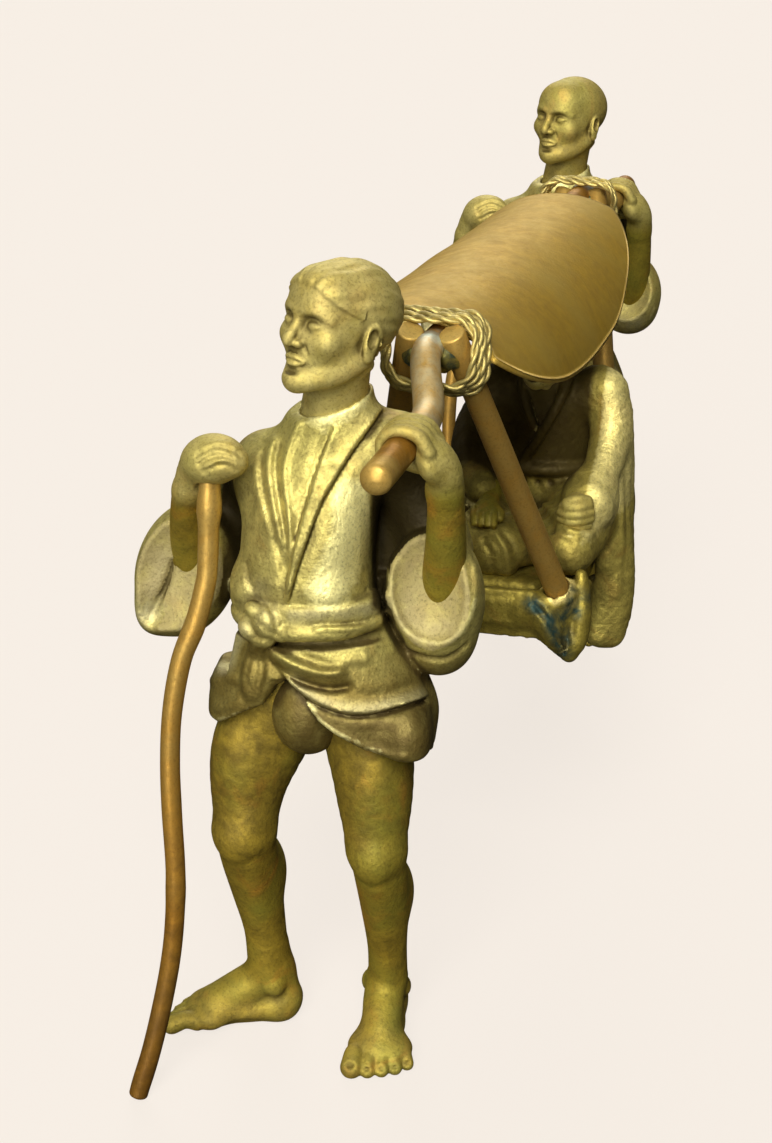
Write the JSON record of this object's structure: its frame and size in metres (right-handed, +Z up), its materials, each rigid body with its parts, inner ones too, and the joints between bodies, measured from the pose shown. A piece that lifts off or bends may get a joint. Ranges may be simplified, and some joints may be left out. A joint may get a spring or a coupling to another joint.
{
  "type": "bronze figure group",
  "caption": "Cast bronze table group: robed bearers with walking sticks shoulder a carrying pole, from which a roofed litter with a seated passenger hangs between them.",
  "frame": {"origin": "middle of the bounding box on the ground", "axes": "+Z up, -Y the way the bearers walk and face, +X their left side, where the pole lies on the shoulders"},
  "size_m": [0.0838, 0.2576, 0.1643],
  "materials": {
    "robe_bronze": "satin straw-gold patina, brown in the folds",
    "skin_bronze": "satin olive-brown patina",
    "rod_bronze": "satin red-brown patina",
    "rope_bronze": "satin pale gold",
    "roof_bronze": "fine matt tan patina",
    "seat_bronze": "hammered gold patina with verdigris",
    "pin_bronze": "plain"
  },
  "bodies": {
    "litter": {"pole": "rod_bronze", "front_rope": "rope_bronze", "rear_rope": "rope_bronze", "strut_front_left": "rod_bronze", "strut_front_right": "rod_bronze", "strut_rear_left": "rod_bronze", "strut_rear_right": "rod_bronze", "strut_pins": "pin_bronze", "roof": "roof_bronze", "seat": "seat_bronze", "seat_cushion": "seat_bronze", "passenger_robe": "robe_bronze", "passenger_head": "skin_bronze", "passenger_left_hand": "skin_bronze", "passenger_right_hand": "skin_bronze", "passenger_stud": "pin_bronze", "passenger_nut": "pin_bronze"},
    "front_bearer": {"front_bearer_robe": "robe_bronze", "front_bearer_head": "skin_bronze", "front_bearer_right_arm": "skin_bronze", "front_bearer_left_arm": "skin_bronze", "front_bearer_right_leg": "skin_bronze", "front_bearer_left_leg": "skin_bronze", "front_bearer_pins": "pin_bronze"},
    "rear_bearer": {"rear_bearer_robe": "robe_bronze", "rear_bearer_head": "skin_bronze", "rear_bearer_right_arm": "skin_bronze", "rear_bearer_left_arm": "skin_bronze", "rear_bearer_right_leg": "skin_bronze", "rear_bearer_left_leg": "skin_bronze", "rear_bearer_pins": "pin_bronze"},
    "front_stick": {"front_stick": "rod_bronze"},
    "rear_stick": {"rear_stick": "rod_bronze"}
  },
  "joints": [
    {"name": "front_bearer_pull_off", "type": "slide", "parent": "litter", "child": "front_bearer", "axis": [0, -1, 0], "range_m": [0, 0.028]},
    {"name": "rear_bearer_pull_off", "type": "slide", "parent": "litter", "child": "rear_bearer", "axis": [0, 1, 0], "range_m": [0, 0.028]},
    {"name": "front_stick_turn", "type": "hinge", "parent": "front_bearer", "child": "front_stick", "pos_m": [-0.02085, -0.1088, 0.119], "axis": [-0.0271, -0.0995, -0.9947], "range_deg": [-40, 40]},
    {"name": "rear_stick_turn", "type": "hinge", "parent": "rear_bearer", "child": "rear_stick", "pos_m": [-0.02085, 0.1032, 0.119], "axis": [-0.0271, -0.0995, -0.9947], "range_deg": [-40, 40]}
  ]
}
